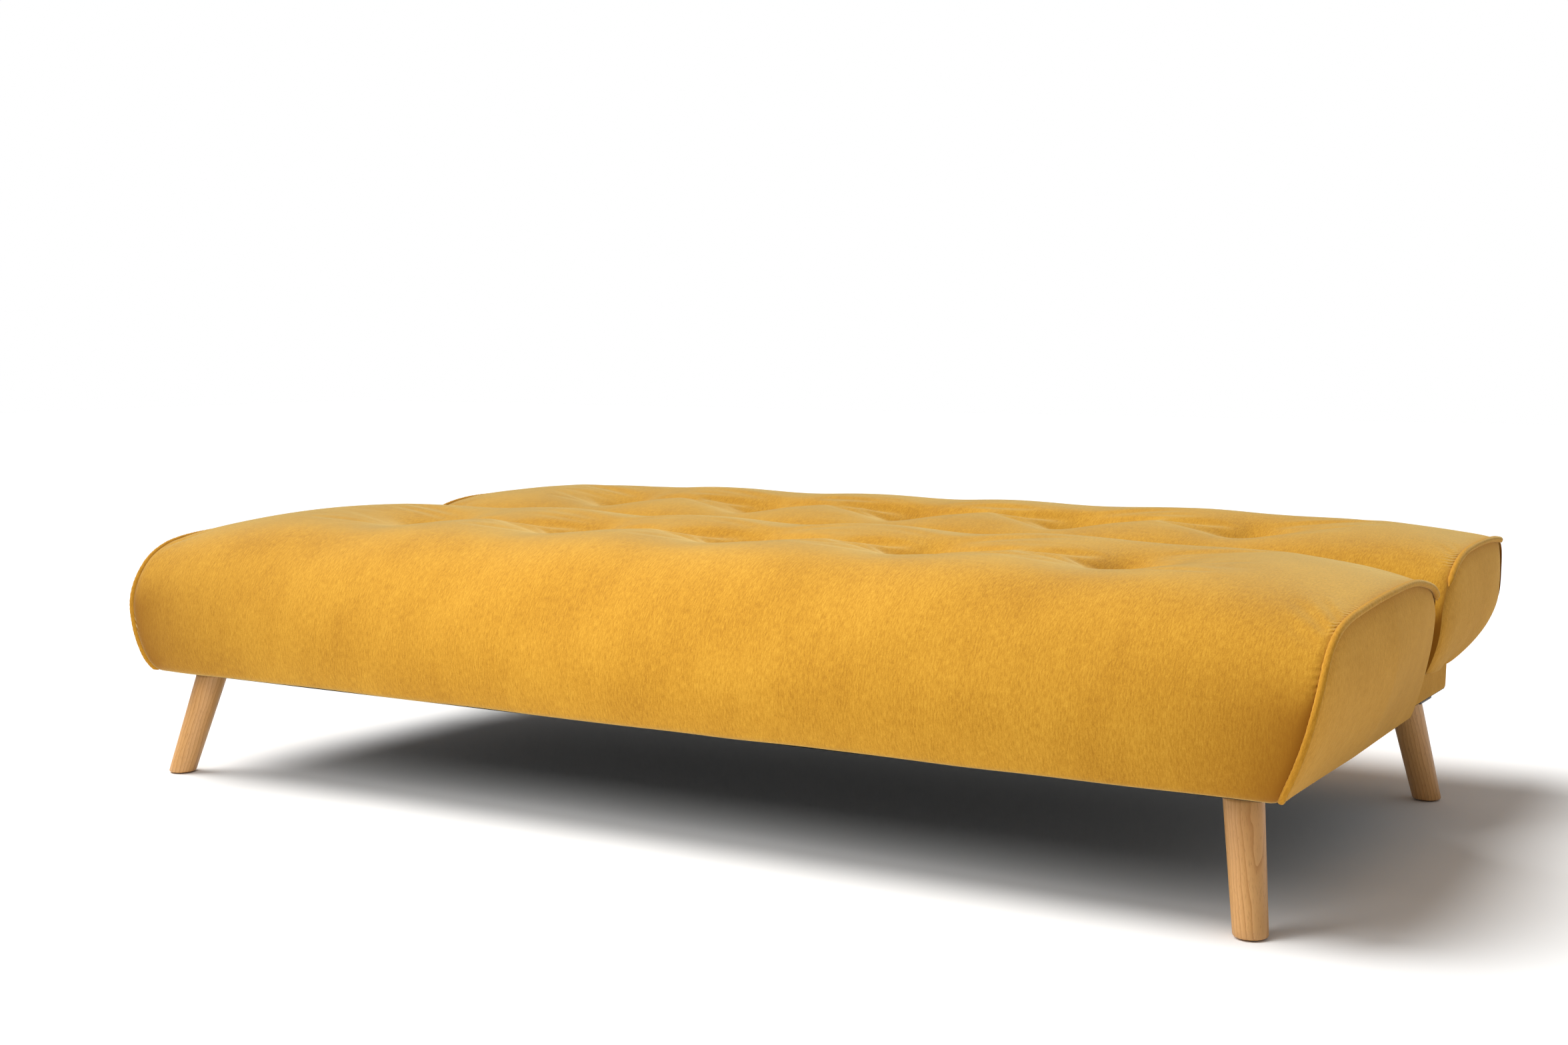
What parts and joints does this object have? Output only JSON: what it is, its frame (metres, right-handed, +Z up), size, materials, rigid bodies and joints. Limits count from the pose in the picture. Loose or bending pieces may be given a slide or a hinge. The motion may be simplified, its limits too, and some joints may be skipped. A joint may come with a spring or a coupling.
{
  "type": "sofa bed",
  "caption": "Click-clack sofa bed with buttoned, piped seat and back slabs on splayed wooden legs, standing open as a flat bed.",
  "frame": {"origin": "on the floor under the centre of the outline", "axes": "+Z up, +X along the length to the right-hand end seen from the front, +Y from the front edge to the back"},
  "size_m": [1.87, 1.0904, 0.3881],
  "materials": {
    "cover_fabric": "short-pile velvet",
    "end_fabric": "short-pile velvet",
    "lining_fabric": "non-woven",
    "leg_wood": "satin lacquer",
    "timber": "planed",
    "foam": "open-cell foam",
    "wadding": "fibre",
    "spring_steel": "drawn wire",
    "bracket_steel": "black powder coat",
    "bolt_steel": "zinc plated",
    "glide_plastic": "moulded"
  },
  "bodies": {
    "base": {"base_cover": "cover_fabric", "base_cross_rails": "timber", "base_dust_cover": "lining_fabric", "base_end_rails": "timber", "base_front_rail": "timber", "base_leg_blocks": "timber", "base_rear_rail": "timber", "hinge_bracket_bolts": "bolt_steel", "hinge_bracket_left": "bracket_steel", "hinge_bracket_right": "bracket_steel", "hinge_pins": "bolt_steel", "leg_bolts": "bolt_steel", "leg_front_left": "leg_wood", "leg_front_right": "leg_wood", "leg_glides": "glide_plastic", "leg_plates": "bracket_steel", "leg_rear_left": "leg_wood", "leg_rear_right": "leg_wood"},
    "seat": {"seat_arm_bolts": "bolt_steel", "seat_arm_left": "bracket_steel", "seat_arm_right": "bracket_steel", "seat_button_ties": "wadding", "seat_buttons": "cover_fabric", "seat_cover": "cover_fabric", "seat_cross_rails": "timber", "seat_end_boards": "timber", "seat_end_pads": "foam", "seat_end_panel_left": "end_fabric", "seat_end_panel_right": "end_fabric", "seat_foam": "foam", "seat_front_board": "timber", "seat_front_pad": "foam", "seat_front_rail": "timber", "seat_piping_left": "cover_fabric", "seat_piping_right": "cover_fabric", "seat_rear_rail": "timber", "seat_side_rails": "timber", "seat_spring_pad": "wadding", "seat_springs": "spring_steel", "seat_wadding": "wadding"},
    "back": {"back_arm_bolts": "bolt_steel", "back_arm_left": "bracket_steel", "back_arm_right": "bracket_steel", "back_button_ties": "wadding", "back_buttons": "cover_fabric", "back_cover": "cover_fabric", "back_cross_rails": "timber", "back_end_panel_left": "end_fabric", "back_end_panel_right": "end_fabric", "back_foam": "foam", "back_front_rail": "timber", "back_lining": "lining_fabric", "back_piping_left": "cover_fabric", "back_piping_right": "cover_fabric", "back_rear_rail": "timber", "back_side_rails": "timber", "back_spring_pad": "wadding", "back_springs": "spring_steel", "back_wadding": "wadding"}
  },
  "joints": [
    {"name": "seat_lift", "type": "hinge", "parent": "base", "child": "seat", "pos_m": [0, 0.0815, 0.328], "axis": [-1, 0, 0], "range_deg": [0, 30]},
    {"name": "back_recline", "type": "hinge", "parent": "base", "child": "back", "pos_m": [0, 0.0815, 0.328], "axis": [1, 0, 0], "range_deg": [0, 75]}
  ]
}
